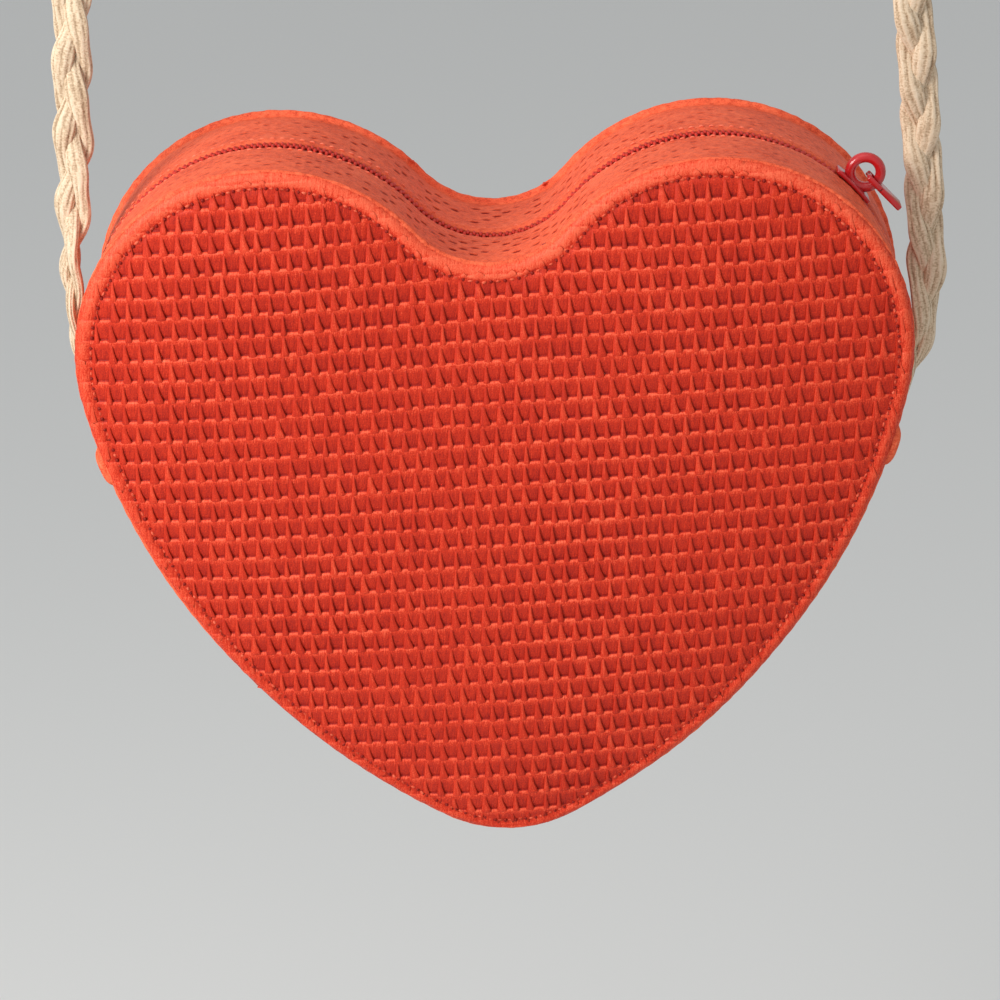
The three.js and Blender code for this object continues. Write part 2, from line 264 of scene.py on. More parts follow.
# Front and back panel: one heart each of coarse straw cloth. Its level straws lie like shingles,
# and flat upright straws lap them, narrow where they come out from under one and wide where they
# cross the next. The edge is rolled over the lips, and the front panel folds at the side seams.
WEFT_PITCH = 5.2 * MM
WARP_PITCH = 3.76 * MM
WEFT_RISE = math.radians(2.1)
WARP_LEAN = math.radians(6)
WARP_HALF_WIDTH = 0.98 * MM
WARP_HALF_THICK = 0.15 * MM
WARP_EDGE_INSET = 1.6 * MM
# Painted shade that darkens an upright straw towards its edges
WARP_EDGE_PAINTED_SHADE = 0.15
PANEL_EDGE_INSET = 0.3 * MM
FRONT_SWELL = 3.5 * MM
BACK_SWELL = 1.5 * MM
SWELL_REACH = 22 * MM
PANEL_HALF_WIDTH = 110 * MM
PANEL_HALF_HEIGHT = 112 * MM
SHEET_THICK = 0.5 * MM
SHEET_STATIONS = 4
SHEET_GRAIN = 300
MEAN_TONE = 0.42
STRAW_SPECULAR = 0.26
STRAW_BUMP = 0.2 * MM
MARGIN_SEAM = 4 * MM
# Inset from the lips' edge and distance of the cloth from the bag's middle plane, in millimetres,
# then the share of its weave's height that is left and its mean tone: it is pressed flat at the
# edge, and pulled down where it is sewn. The tone is a painted highlight on the rolled edge and
# painted shade in the seam's groove
PANEL_MARGIN = [
    (0.3, 26.7, 0.05, 0.75), (0.6, 27.4, 0.1, 0.84), (1.1, 27.85, 0.15, 0.9), (2, 28.1, 0.25, 0.9),
    (3, 28.1, 0.35, 0.84), (3.5, 27.95, 0.4, 0.6), (4, 27.65, 0.3, 0.3), (4.5, 27.95, 0.6, 0.38),
    (5.4, 28.1, 1, 0.42),
]
# Millimetres from the cleft along the heart, then the inset of the seam there, which the margin
# is drawn in or out by (the table above has it at 4), and how much its painted highlight and
# shade stand out, most near the cleft at the top
SEAM_INSET = [
    (0, 4.4, 1), (35, 4.1, 1), (60, 4.2, 1), (110, 4.4, 0.85), (150, 3.8, 0.5), (300, 3, 0.4),
]
# Millimetres down from a level straw's upper edge, the straw's height there and its tone: a
# painted highlight on the upper edge, fading to painted shade in the groove above the next straw
WEFT_SHAPE = [
    (0, 0.2, 0.8), (0.3, 0.42, 0.8), (0.7, 0.45, 0.58), (1.35, 0.37, 0.5), (2, 0.22, 0.36),
    (3.2, 0.1, 0.32), (4.3, -0.02, 0.28), (4.75, -0.14, 0.04), (5.1, -0.16, 0),
]
# The same, for an upright straw, with its half width as a share of the full one
WARP_SHAPE = [
    (1.1, 0.26, 0.5, 0.4), (1.8, 0.34, 0.56, 0.46), (3, 0.36, 0.58, 0.6), (4.2, 0.38, 0.56, 0.84),
    (5, 0.44, 0.54, 1), (5.45, 0.42, 0.54, 1.08), (5.85, 0.28, 0.5, 1.1), (6.15, 0.1, 0.46, 0.9),
]
WARP_SECTION = [(-1, -0.2), (-0.8, 0.8), (0, 1), (0.8, 0.8), (1, -0.2), (0, -1)]
# The range of an upright straw's width and height between two crossings, as shares of the full
# ones, and of its tone, then how far it may lie aside
UPRIGHT_WIDTHS = (0.65, 1.3)
UPRIGHT_HEIGHTS = (0.65, 1.1)
UPRIGHT_SHADES = (-0.14, 0.1)
UPRIGHT_SHIFT = 0.3 * MM
WEFT_SWAY = 0.2 * MM
CROSSING_DIP = 0.06 * MM
WEFT_SHADE = 0.12
RELIEF_CHANGE = 0.3
RELIEF_PATCH = 40 * MM
FRONT = -1
BACK = 1
SIDES = [("front", FRONT), ("back", BACK)]
FOLD_LOW = 4 * MM
FOLD_HIGH = 30 * MM

panel_middle = Vector((0, 0, seam_level))
weft_way = Vector((math.cos(WEFT_RISE), 0, math.sin(WEFT_RISE)))
warp_way = Vector((math.sin(WARP_LEAN), 0, math.cos(WARP_LEAN)))


def colour(red, green, blue):
    """A screen colour of 0 to 255 as a linear one."""
    parts = [value / 255 for value in (red, green, blue)]
    return [p / 12.92 if p <= 0.04045 else ((p + 0.055) / 1.055) ** 2.4 for p in parts] + [1]


def straw_mesh():
    """An empty mesh with its two layers: fibre runs along and across, and the tone, with its
    painted shade and highlights.
    """
    bm = bmesh.new()
    bm.verts.layers.float_vector.new("fibre")
    bm.verts.layers.float.new("tone_and_painted_light")
    return bm


def tube(bm, rings, sides, place):
    """A tube whose skin is at place(ring, turn), which gives a point, its fibre and its tone,
    painted light included.
    """
    fibre = bm.verts.layers.float_vector["fibre"]
    tone_and_painted_light = bm.verts.layers.float["tone_and_painted_light"]
    grid = bmesh.ops.create_grid(bm, x_segments=rings, y_segments=sides, size=1)["verts"]
    for vert in grid:
        ring = round((vert.co.x + 1) / 2 * rings)
        turn = round((vert.co.y + 1) / 2 * sides) / sides * 2 * math.pi
        vert.co, vert[fibre], vert[tone_and_painted_light] = place(ring, turn)


def close_tubes(bm):
    """Joins the long seams and the pointed ends of all tubes, and turns their faces outwards."""
    bmesh.ops.remove_doubles(bm, verts=bm.verts, dist=1e-7)
    bmesh.ops.dissolve_degenerate(bm, edges=bm.edges, dist=1e-8)
    bmesh.ops.recalc_face_normals(bm, faces=bm.faces)


def between(table, value):
    """The other columns of a table at a value of its first one, straight between its rows."""
    for first, second in zip(table, table[1:]):
        if value < second[0]:
            break
    share = min(max((value - first[0]) / (second[0] - first[0]), 0), 1)
    return [low + (high - low) * share for low, high in zip(first[1:], second[1:])]


def blunt(part):
    """A sine or cosine drawn out towards the corners, for a flat section."""
    return math.copysign(abs(part) ** 0.65, part)


def seam_inset(way):
    """How far inside the edge of the lips the panel is sewn down, in metres, and how strongly the
    margin's painted highlight and shade show.
    """
    inset, contrast = between(SEAM_INSET, abs(way - cleft_way) / MM)
    return inset * MM, contrast


def trim_panel(bm, outside, side, thick):
    """Takes the faces that lie outside the edge off a panel, and gives the rest its thickness."""
    gone = [face for face in bm.faces if all(vert in outside for vert in face.verts)]
    bmesh.ops.delete(bm, geom=gone, context="FACES")
    if side == BACK:
        bmesh.ops.reverse_faces(bm, faces=bm.faces)
    bmesh.ops.solidify(bm, geom=bm.faces[:], thickness=thick)


class WovenPanel:
    """One panel's cloth on the front or the back of the bag."""

    def __init__(self, side, swell, seed):
        self.side = side
        self.swell = swell
        self.chance = random.Random(seed)
        self.columns = math.ceil(PANEL_HALF_WIDTH / WARP_PITCH)
        self.rows = math.ceil(PANEL_HALF_HEIGHT / WEFT_PITCH)

    def lay(self, place, height, tone):
        """The point at a height over the cloth's base, as edge and seam leave it, and its tone with the
        margin's painted highlight and shade.
        """
        inset, _, _, way = inset_at(place.x, place.z)
        seam, contrast = seam_inset(way)
        drawn = inset * MARGIN_SEAM / seam
        reach, share, mean = between(PANEL_MARGIN, drawn / MM)
        # The margin's painted highlight and shade, stronger or weaker along the seam
        mean = MEAN_TONE + (mean - MEAN_TONE) * contrast
        inner = max(drawn - PANEL_MARGIN[-1][0] * MM, 0)
        rise = self.swell * (1 - math.exp(-inner / SWELL_REACH))
        share *= 1 + RELIEF_CHANGE * noise.noise(place / RELIEF_PATCH)
        y = self.side * (reach * MM + rise + share * height)
        return Vector((place.x, y, place.z)), mean + (tone - MEAN_TONE) * share

    def sheet(self):
        """The level straws, each lying on the next one's upper edge."""
        bm = straw_mesh()
        fibre = bm.verts.layers.float_vector["fibre"]
        tone_and_painted_light = bm.verts.layers.float["tone_and_painted_light"]
        levels = [(row, *shape) for row in range(self.rows, -self.rows, -1) for shape in WEFT_SHAPE]
        last = len(levels) - 1
        half_width = self.columns * WARP_PITCH
        grid = bmesh.ops.create_grid(
            bm, x_segments=2 * self.columns * SHEET_STATIONS, y_segments=last, size=1
        )["verts"]
        outside = set()
        for vert in grid:
            across = vert.co.x * half_width
            row, down, height, tone = levels[round((1 - vert.co.y) / 2 * last)]
            straw = row if down < WEFT_SHAPE[-2][0] else row - 1
            sway = noise.noise(Vector((120 * across, 7.3 * straw, 2)))
            along = row * WEFT_PITCH - down * MM - WEFT_SWAY * sway
            pressed = 0.5 + 0.5 * math.cos(2 * math.pi * across / WARP_PITCH)
            shade = noise.noise(Vector((260 * across, 3.1 * straw, 5)))
            place = panel_middle + across * weft_way + along * warp_way
            inset, near, outward, _ = inset_at(place.x, place.z)
            if inset < PANEL_EDGE_INSET:
                outside.add(vert)
                place = near - PANEL_EDGE_INSET * outward
            height = height * MM - CROSSING_DIP * pressed
            vert.co, vert[tone_and_painted_light] = self.lay(place, height, tone + WEFT_SHADE * shade)
            vert[fibre] = (along / MM, across / MM, SHEET_GRAIN)
        trim_panel(bm, outside, self.side, SHEET_THICK)
        return bm

    def upright(self, bm, column):
        """An upright straw, in as many lengths as lie inside the panel's edge."""
        shapes = []
        for row in range(self.rows, -self.rows, -1):
            wide = self.chance.uniform(*UPRIGHT_WIDTHS)
            high = self.chance.uniform(*UPRIGHT_HEIGHTS)
            shade = self.chance.uniform(*UPRIGHT_SHADES)
            aside = self.chance.uniform(-UPRIGHT_SHIFT, UPRIGHT_SHIFT)
            for down, height, tone, width in WARP_SHAPE:
                along = row * WEFT_PITCH - down * MM
                middle = panel_middle + column * WARP_PITCH * weft_way + along * warp_way
                half = WARP_HALF_WIDTH * width * wide
                middle += (half - WARP_HALF_WIDTH + aside) * weft_way
                inside = inset_at(middle.x, middle.z)[0] > WARP_EDGE_INSET
                shapes.append((inside, middle, half, height * high * MM, tone + shade, along / MM))
        for inside, run in itertools.groupby(shapes, key=lambda shape: shape[0]):
            run = list(run)
            if inside and len(run) > 3:
                self.length(bm, run, column)

    def length(self, bm, run, column):
        """One length of an upright straw."""
        sides = len(WARP_SECTION)

        def place(ring, turn):
            _, middle, half, height, tone, along = run[ring]
            closed = 0 if ring in (0, len(run) - 1) else 1
            side = round(turn / (2 * math.pi) * sides) % sides
            across, up = WARP_SECTION[side]
            spot = middle + across * half * closed * weft_way
            # Painted shade: darker towards the straw's edges
            tone -= WARP_EDGE_PAINTED_SHADE * abs(across)
            point, tone = self.lay(spot, height + up * WARP_HALF_THICK * closed, tone)
            return point, (along, 2 * across, 10 * column), tone

        tube(bm, len(run) - 1, sides, place)

    def uprights(self):
        """All upright straws of the panel."""
        bm = straw_mesh()
        for column in range(-self.columns, self.columns + 1):
            self.upright(bm, column)
        close_tubes(bm)
        return bm


def straw_colour_with_painted_light_group():
    """Straw's colour: streaks along its fibres, and a darker tone where it lies deep, which is
    painted shade, with a painted highlight where it stands highest.
    """
    group = bpy.data.node_groups.new("straw_colour_with_painted_light", "ShaderNodeTree")
    for name, kind in [
        ("Fibre", "NodeSocketVector"),
        ("Tone And Painted Light", "NodeSocketFloat"),
        ("Light", "NodeSocketColor"),
        ("Raised", "NodeSocketColor"),
        ("Dark Tone And Painted Shade", "NodeSocketColor"),
        ("Gloss Mean", "NodeSocketFloat"),
    ]:
        group.interface.new_socket(name, in_out="INPUT", socket_type=kind)
    for name, kind in [
        ("Colour", "NodeSocketColor"),
        ("Roughness", "NodeSocketFloat"),
        ("Height", "NodeSocketFloat"),
    ]:
        group.interface.new_socket(name, in_out="OUTPUT", socket_type=kind)
    nodes, links = group.nodes, group.links
    given = nodes.new("NodeGroupInput")
    result = nodes.new("NodeGroupOutput")

    def streaks(stretch, detail):
        scaled = nodes.new("ShaderNodeVectorMath")
        scaled.operation = "MULTIPLY"
        scaled.inputs[1].default_value = stretch
        grain = nodes.new("ShaderNodeTexNoise")
        grain.inputs["Scale"].default_value = 1
        grain.inputs["Detail"].default_value = detail
        links.new(given.outputs["Fibre"], scaled.inputs[0])
        links.new(scaled.outputs[0], grain.inputs["Vector"])
        return grain.outputs["Fac"]

    def sum_of(first, factor, second):
        step = nodes.new("ShaderNodeMath")
        step.operation = "MULTIPLY_ADD"
        links.new(first, step.inputs[0])
        step.inputs[1].default_value = factor
        if isinstance(second, float):
            step.inputs[2].default_value = second
        else:
            links.new(second, step.inputs[2])
        return step.outputs[0]

    broad = streaks((0.22, 1.3, 3.7), 2)
    fine = streaks((0.5, 4.5, 5.3), 3)
    speck = streaks((2.6, 3.4, 7.1), 2)
    tone = sum_of(speck, 1.1, sum_of(fine, 0.8, sum_of(broad, 0.6, -1.25)))
    tone = sum_of(given.outputs["Tone And Painted Light"], 1.0, tone)

    def mix_of(first, second, slope, start):
        level = nodes.new("ShaderNodeClamp")
        links.new(sum_of(tone, slope, start), level.inputs["Value"])
        mixed = nodes.new("ShaderNodeMix")
        mixed.data_type = "RGBA"
        links.new(level.outputs[0], mixed.inputs[0])
        links.new(first, mixed.inputs[6])
        links.new(second, mixed.inputs[7])
        return mixed.outputs[2]

    # Low tones take the dark colour: darker fibres, and painted shade in the hollows. High tones take the
    # pale colour: paler fibres, and a painted highlight on edges that face the lamps.
    body = mix_of(given.outputs["Dark Tone And Painted Shade"], given.outputs["Raised"], 1.45, 0.0)
    links.new(mix_of(body, given.outputs["Light"], 1.8, -1.0), result.inputs["Colour"])
    links.new(sum_of(broad, 0.25, given.outputs["Gloss Mean"]), result.inputs["Roughness"])
    links.new(sum_of(fine, 1.0, speck), result.inputs["Height"])
    return group


straw_colour_with_painted_light = straw_colour_with_painted_light_group()


def straw_material(name, light, raised, dark_tone_and_painted_shade, gloss_mean, bump_strength):
    """Straw in one dye, with the shared streaks and its own three tones: light is its pale fibres
    and the painted highlight, raised is its own colour, and the darkest is its dark fibres and
    the painted shade in its hollows.
    """
    material, nodes, links, shader = new_material(name)
    shader.inputs["Specular IOR Level"].default_value = STRAW_SPECULAR
    colouring = nodes.new("ShaderNodeGroup")
    colouring.node_tree = straw_colour_with_painted_light
    for socket, layer, output in [("Fibre", "fibre", "Vector"), ("Tone And Painted Light", "tone_and_painted_light", "Fac")]:
        read = nodes.new("ShaderNodeAttribute")
        read.attribute_name = layer
        links.new(read.outputs[output], colouring.inputs[socket])
    colouring.inputs["Light"].default_value = light
    colouring.inputs["Raised"].default_value = raised
    colouring.inputs["Dark Tone And Painted Shade"].default_value = dark_tone_and_painted_shade
    colouring.inputs["Gloss Mean"].default_value = gloss_mean
    bump = nodes.new("ShaderNodeBump")
    bump.inputs["Strength"].default_value = bump_strength
    bump.inputs["Distance"].default_value = STRAW_BUMP
    links.new(colouring.outputs["Colour"], shader.inputs["Base Color"])
    links.new(colouring.outputs["Roughness"], shader.inputs["Roughness"])
    links.new(colouring.outputs["Height"], bump.inputs["Height"])
    links.new(bump.outputs["Normal"], shader.inputs["Normal"])
    return material


# The pale colour of each straw is also its painted highlight, and its darkest colour is also its painted
# shade.
panel_straw = straw_material(
    "panel_straw", light=colour(248, 110, 76), raised=colour(218, 53, 20), dark_tone_and_painted_shade=colour(150, 17, 5),
    gloss_mean=0.42, bump_strength=0.4,
)


def carry(piece, side):
    """The back's cloth stays on the bag. The front's bends at the side seams, where the open
    mouth folds forward."""
    if side == BACK:
        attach(piece, "bag")
        return
    fold = joints["mouth_opening"]["pos_m"]
    start = (fold[0], fold[1], fold[2] - FOLD_LOW)
    end = (fold[0], fold[1], fold[2] + FOLD_HIGH)
    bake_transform(piece, "bag", "flap", start, end)


for name, side, swell, seed, nodes in [
    ("front_panel", FRONT, FRONT_SWELL, 11, ("front_panel_upper", "front_panel_lower")),
    ("back_panel", BACK, BACK_SWELL, 12, ("back_panel",)),
]:
    weave = WovenPanel(side, swell, seed)
    sheet = add_piece(name + "_sheet", weave.sheet(), panel_straw)
    carry(sheet, side)
    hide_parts(*nodes)
    uprights = add_piece(name + "_uprights", weave.uprights(), panel_straw)
    carry(uprights, side)

# Gussets: strips of smoother straw cloth between the panels. Two run over the lobes, one on each
# side of the zip, and one runs from side seam to side seam round the tip. Beside the zip the edge
# is folded under, and at the panels it is turned in as a lip, under the panel's rolled edge.
FINE_STEP = 0.5 * MM
FINE_PATH = 0.42 * MM
PLAIN_STEP = 0.9 * MM
PLAIN_PATH = 0.7 * MM
PORE_PITCH = 5 * MM
PORE_ROW = 2.7 * MM
PORE_HALF_LENGTH = 0.75 * MM
PORE_HALF_WIDTH = 0.5 * MM
PORE_DEPTH = 0.7 * MM
PORE_START = 6.5 * MM
PORE_REACH = 20 * MM
PORE_SPREAD = 45 * MM
PORE_SHARE_AFAR = 0.12
# Painted shade that darkens the small holes in the gusset
PORE_PAINTED_SHADE = 1.7
GUSSET_SLACK = 0.4 * MM
GUSSET_MOTTLE = 0.1 * MM
GUSSET_RIB = 0.05 * MM
GUSSET_TONE = 0.64
GUSSET_GRAIN = 4
# Inset from the lips' edge and distance from the bag's middle plane, in millimetres
ZIP_FOLD = [
    (2.3, 6), (2.25, 2.9), (2.05, 2.2), (1.55, 2.2), (1.2, 2.9), (1, 4), (0.95, 9), (0.85, 14),
    (0.9, 20),
]
LIP = [
    (1.05, 23.2), (1.35, 24.6), (0.9, 25.4), (0.2, 25.9), (-0.05, 26.4), (0.1, 26.8), (0.6, 26.95),
    (1.2, 27.2), (2.2, 27.35), (3, 27.3), (3.5, 27), (3.6, 26.4),
]
UNDER_LIP = [(3.4, 26), (2.3, 25.8), (2.2, 22), (2.2, 14)]
BOTTOM_WALL = [(0.95, 20), (0.7, 8), (0.6, 0)]


def section(points, side):
    """Section points in metres on the front or the back of the bag."""
    return [Vector((inset, side * reach)) * MM for inset, reach in points]


def rounded(points, step):
    """A broken line with its corners cut twice, as points at most about a step apart."""
    for _ in range(2):
        cut = [points[0]]
        for first, second in zip(points, points[1:]):
            cut += [first.lerp(second, 0.25), first.lerp(second, 0.75)]
        points = cut + [points[-1]]
    line = [points[0]]
    for first, second in zip(points, points[1:]):
        parts = max(1, round((second - first).length / step))
        line += [first.lerp(second, part / parts) for part in range(1, parts + 1)]
    return line


def swept_cloth(start, end, outer, inner, step, grain, lift):
    """Cloth along the heart from start to end: a closed section of an outer and an inner line.
    The outer line runs towards the front, and lift gives how far it rises and its tone. The
    larger its grain, the shorter its streaks."""
    bm = straw_mesh()
    fibre = bm.verts.layers.float_vector["fibre"]
    tone_and_painted_light = bm.verts.layers.float["tone_and_painted_light"]
    loop = outer + inner + outer[:1]
    columns = round((end - start) / step)
    rows = len(loop) - 1
    spots = [heart(start + (end - start) * column / columns) for column in range(columns + 1)]
    grid = bmesh.ops.create_grid(bm, x_segments=columns, y_segments=rows, size=1)["verts"]
    for vert in grid:
        column = round((vert.co.x + 1) / 2 * columns)
        row = round((vert.co.y + 1) / 2 * rows)
        way = start + (end - start) * column / columns
        spot = loop[row].copy()
        tone = 0.5
        if 0 < row < len(outer) - 1:
            rise, tone = lift(way, spot.y)
            run = (loop[row + 1] - loop[row - 1]).normalized()
            spot += rise * Vector((run.y, -run.x))
        point, out = spots[column]
        vert.co = point - spot.x * out + Vector((0, spot.y, 0))
        vert[fibre] = (grain * way / MM, loop[row].y / MM, 0)
        vert[tone_and_painted_light] = tone
    bmesh.ops.remove_doubles(bm, verts=bm.verts, dist=1e-7)
    bmesh.ops.holes_fill(bm, edges=bm.edges, sides=0)
    return bm


def upper_strip(side, outer, inner, step, grain, lift):
    """Cloth on one side of the zip, over both lobes from side seam to side seam."""
    if side == BACK:
        outer, inner = outer[::-1], inner[::-1]
    return swept_cloth(right_seam, left_seam, outer, inner, step, grain, lift)


def gusset_lift(way, y):
    """Slack, faint ribs and small staggered holes in the wall, most of them near the cleft, with
    painted shade in the holes.
    """
    slack = noise.noise(Vector((22 * way, 30 * y, 4.2)))
    mottle = noise.noise(Vector((800 * way, 1100 * y, 1.7)))
    patch = noise.noise(Vector((90 * way, 160 * y, 8.1)))
    row = round(y / PORE_ROW)
    phase = way / PORE_PITCH + 0.5 * (row % 2) + 0.12 * patch
    number = round(phase)
    along = (phase - number) * PORE_PITCH / PORE_HALF_LENGTH
    across = (y - row * PORE_ROW) / PORE_HALF_WIDTH
    chance = 0.5 + 0.5 * noise.cell(Vector((number + 0.5, row + 0.5, 0.5)))
    in_cleft = math.exp(-(((way - cleft_way) / PORE_SPREAD) ** 2))
    strength = PORE_SHARE_AFAR + (1 - PORE_SHARE_AFAR) * in_cleft
    strength *= min(max(3 * chance - 0.8, 0), 1)
    hole = strength * math.exp(-(along**4) - across**4) if PORE_START < abs(y) < PORE_REACH else 0
    rib = math.cos(2 * math.pi * phase)
    rise = GUSSET_SLACK * slack + GUSSET_RIB * rib + GUSSET_MOTTLE * mottle - PORE_DEPTH * hole
    # The holes' tone is painted shade; mottle and patch change the tone at random
    return rise, GUSSET_TONE + 0.2 * mottle + 0.12 * patch - PORE_PAINTED_SHADE * hole


gusset_straw = straw_material(
    "gusset_straw", light=colour(252, 124, 84), raised=colour(240, 94, 56), dark_tone_and_painted_shade=colour(136, 12, 3),
    gloss_mean=0.48, bump_strength=0.35,
)
for name, side in SIDES:
    outer = rounded(section(ZIP_FOLD + LIP, side), FINE_PATH)
    inner = section(UNDER_LIP, side)
    strip = upper_strip(side, outer, inner, FINE_STEP, GUSSET_GRAIN, gusset_lift)
    gusset = add_piece(name + "_gusset_cloth", strip, gusset_straw)
    carry(gusset, side)
    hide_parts(name + "_zip_gusset")

bottom_outer = rounded(
    section(LIP[::-1] + BOTTOM_WALL, BACK) + section(BOTTOM_WALL[-2::-1] + LIP, FRONT), PLAIN_PATH
)
bottom_inner = section(UNDER_LIP, FRONT) + section(UNDER_LIP[::-1], BACK)
bottom_strip = swept_cloth(
    -right_seam, right_seam, bottom_outer, bottom_inner, PLAIN_STEP, GUSSET_GRAIN, gusset_lift
)
bottom_gusset = add_piece("bottom_gusset_cloth", bottom_strip, gusset_straw)
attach(bottom_gusset, "bag")
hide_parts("bottom_gusset")

# Seams: red thread holds each panel down on the lips, and a finer row runs along both folds
# beside the zip. Each stitch is a short bent length of thread that dives into the cloth.
STITCH_RINGS = 4
STITCH_SIDES = 6
STITCH_DIVE = 1.6
# Painted shade towards a stitch's ends, where it dives into the cloth
STITCH_END_PAINTED_SHADE = 0.3
LIP_STITCH_PITCH = heart_length / round(heart_length / (2.8 * MM))
LIP_STITCH_REACH = 27.85 * MM
LIP_STITCH_HALF = 0.95 * MM
LIP_STITCH_RADIUS = 0.34 * MM
LIP_STITCH_SHIFT = 0.15 * MM
LIP_STITCH_LEAN = 0.25
HOLE_HALF = 0.75 * MM
HOLE_RADIUS = 0.52 * MM
ZIP_STITCH_PITCH = 2.5 * MM
ZIP_STITCH_REACH = 4.4 * MM
ZIP_STITCH_INSET = 0.95 * MM
ZIP_STITCH_HALF = 0.85 * MM
ZIP_STITCH_RADIUS = 0.22 * MM
ZIP_STITCH_SHIFT = 0.12 * MM
ZIP_STITCH_TONE = 0.9


def stitch(bm, middle, along, out, half_length, radius, number, tone):
    """A stitch along the cloth at middle, which stands out of it, with painted shade towards its
    ends.
    """
    across = along.cross(out)

    def place(ring, turn):
        part = 2 * ring / STITCH_RINGS - 1
        thick = radius * math.sqrt(max(1 - part**2, 0))
        line = middle + part * half_length * along - STITCH_DIVE * radius * part**2 * out
        skin = math.cos(turn) * out + math.sin(turn) * across
        return line + thick * skin, (part, turn, number), tone - STITCH_END_PAINTED_SHADE * part**2

    tube(bm, STITCH_RINGS, STITCH_SIDES, place)


def along_heart(way):
    """Point, outward direction and onward direction on the heart."""
    point, out = heart(way)
    return point, out, Vector((-out.z, 0, out.x))


def lip_stitches(side, seed):
    """The stitches round a panel, with a dark lump in the needle hole between each two: painted
    shade for the hole.
    """
    bm = straw_mesh()
    chance = random.Random(seed)
    face = Vector((0, side, 0))
    for number in range(round(heart_length / LIP_STITCH_PITCH)):
        point, out, onward = along_heart(number * LIP_STITCH_PITCH)
        inset = seam_inset(number * LIP_STITCH_PITCH)[0]
        inset += chance.uniform(-LIP_STITCH_SHIFT, LIP_STITCH_SHIFT)
        lean = Matrix.Rotation(chance.uniform(-LIP_STITCH_LEAN, LIP_STITCH_LEAN), 3, "Y")
        middle = point - inset * out + LIP_STITCH_REACH * face
        half = LIP_STITCH_HALF * chance.uniform(0.85, 1.15)
        radius = LIP_STITCH_RADIUS * chance.uniform(0.8, 1.2)
        stitch(bm, middle, lean @ onward, face, half, radius, number, chance.uniform(0.3, 0.75))
        point, out, onward = along_heart((number + 0.5) * LIP_STITCH_PITCH)
        middle = point - inset * out + LIP_STITCH_REACH * face
        # A dark lump in the needle hole, painted shade
        stitch(bm, middle, onward, face, HOLE_HALF, HOLE_RADIUS, number, 0)
    close_tubes(bm)
    return bm


def zip_stitches(side, seed):
    """The row beside one fold of the zip."""
    bm = straw_mesh()
    chance = random.Random(seed)
    for number in range(3, round((left_seam - right_seam) / ZIP_STITCH_PITCH) - 2):
        point, out, onward = along_heart(right_seam + number * ZIP_STITCH_PITCH)
        reach = ZIP_STITCH_REACH + chance.uniform(-ZIP_STITCH_SHIFT, ZIP_STITCH_SHIFT)
        middle = point - ZIP_STITCH_INSET * out + Vector((0, side * reach, 0))
        radius = ZIP_STITCH_RADIUS * chance.uniform(0.85, 1.15)
        stitch(bm, middle, onward, out, ZIP_STITCH_HALF, radius, number, ZIP_STITCH_TONE)
    close_tubes(bm)
    return bm


red_thread = straw_material(
    "red_thread", light=colour(252, 140, 110), raised=colour(238, 92, 60), dark_tone_and_painted_shade=colour(130, 10, 2),
    gloss_mean=0.4, bump_strength=0.3,
)
for name, row, side, seed in [
    ("front_lip_stitches", lip_stitches, FRONT, 21),
    ("back_lip_stitches", lip_stitches, BACK, 22),
    ("front_zip_stitches", zip_stitches, FRONT, 23),
    ("back_zip_stitches", zip_stitches, BACK, 24),
]:
    thread = add_piece(name, row(side, seed), red_thread)
    carry(thread, side)

# Zip: a woven tape is sewn under each fold, and carries a coil of dark red nylon whose turns
# reach into those of the other side.
TAPE_LOOP_OUTER = [(2.5, 0.7), (2.5, 4), (2.5, 7), (2.5, 10)]
TAPE_LOOP_INNER = [(3.1, 10), (3.1, 4), (3.1, 0.7)]
TAPE_STEP = 1.5 * MM
TOOTH_PITCH = 1.5 * MM
TOOTH_MARGIN = 5 * MM
TOOTH_INSET = 1.55 * MM
TOOTH_ROOT = 2.5 * MM
TOOTH_TIP = 0.6 * MM
TOOTH_HALF_HEIGHT = 0.5 * MM
TOOTH_HALF_WIDTH = 0.48 * MM
TOOTH_RINGS = 7
TOOTH_SIDES = 8
PLAIN_GRAIN = 1
CLOTH_SHEEN = 0.1
CLOTH_DISTORTION = 0.6
CLOTH_BUMP = 0.15 * MM
COAT_ROUGHNESS = 0.12
GLOSS_CLOUD_SCALE = 420
GLOSS_CLOUD_DETAIL = 3
GLOSS_CHANGE = 0.2


def cloth_material(name, light, dark, threads, bump_strength, roughness):
    """Plain-woven cloth: two crossing waves along the fibre layer, in two tones."""
    material, nodes, links, shader = new_material(name)
    shader.inputs["Roughness"].default_value = roughness
    shader.inputs["Sheen Weight"].default_value = CLOTH_SHEEN
    read = nodes.new("ShaderNodeAttribute")
    read.attribute_name = "fibre"
    crossed = nodes.new("ShaderNodeMath")
    crossed.operation = "MULTIPLY"
    for number, direction in enumerate("XY"):
        wave = nodes.new("ShaderNodeTexWave")
        wave.bands_direction = direction
        wave.inputs["Scale"].default_value = threads
        wave.inputs["Distortion"].default_value = CLOTH_DISTORTION
        links.new(read.outputs["Vector"], wave.inputs["Vector"])
        links.new(wave.outputs["Fac"], crossed.inputs[number])
    tint_by(nodes, links, crossed.outputs[0], dark, light)
    bump = nodes.new("ShaderNodeBump")
    bump.inputs["Strength"].default_value = bump_strength
    bump.inputs["Distance"].default_value = CLOTH_BUMP
    links.new(crossed.outputs[0], bump.inputs["Height"])
    links.new(bump.outputs["Normal"], shader.inputs["Normal"])
    return material


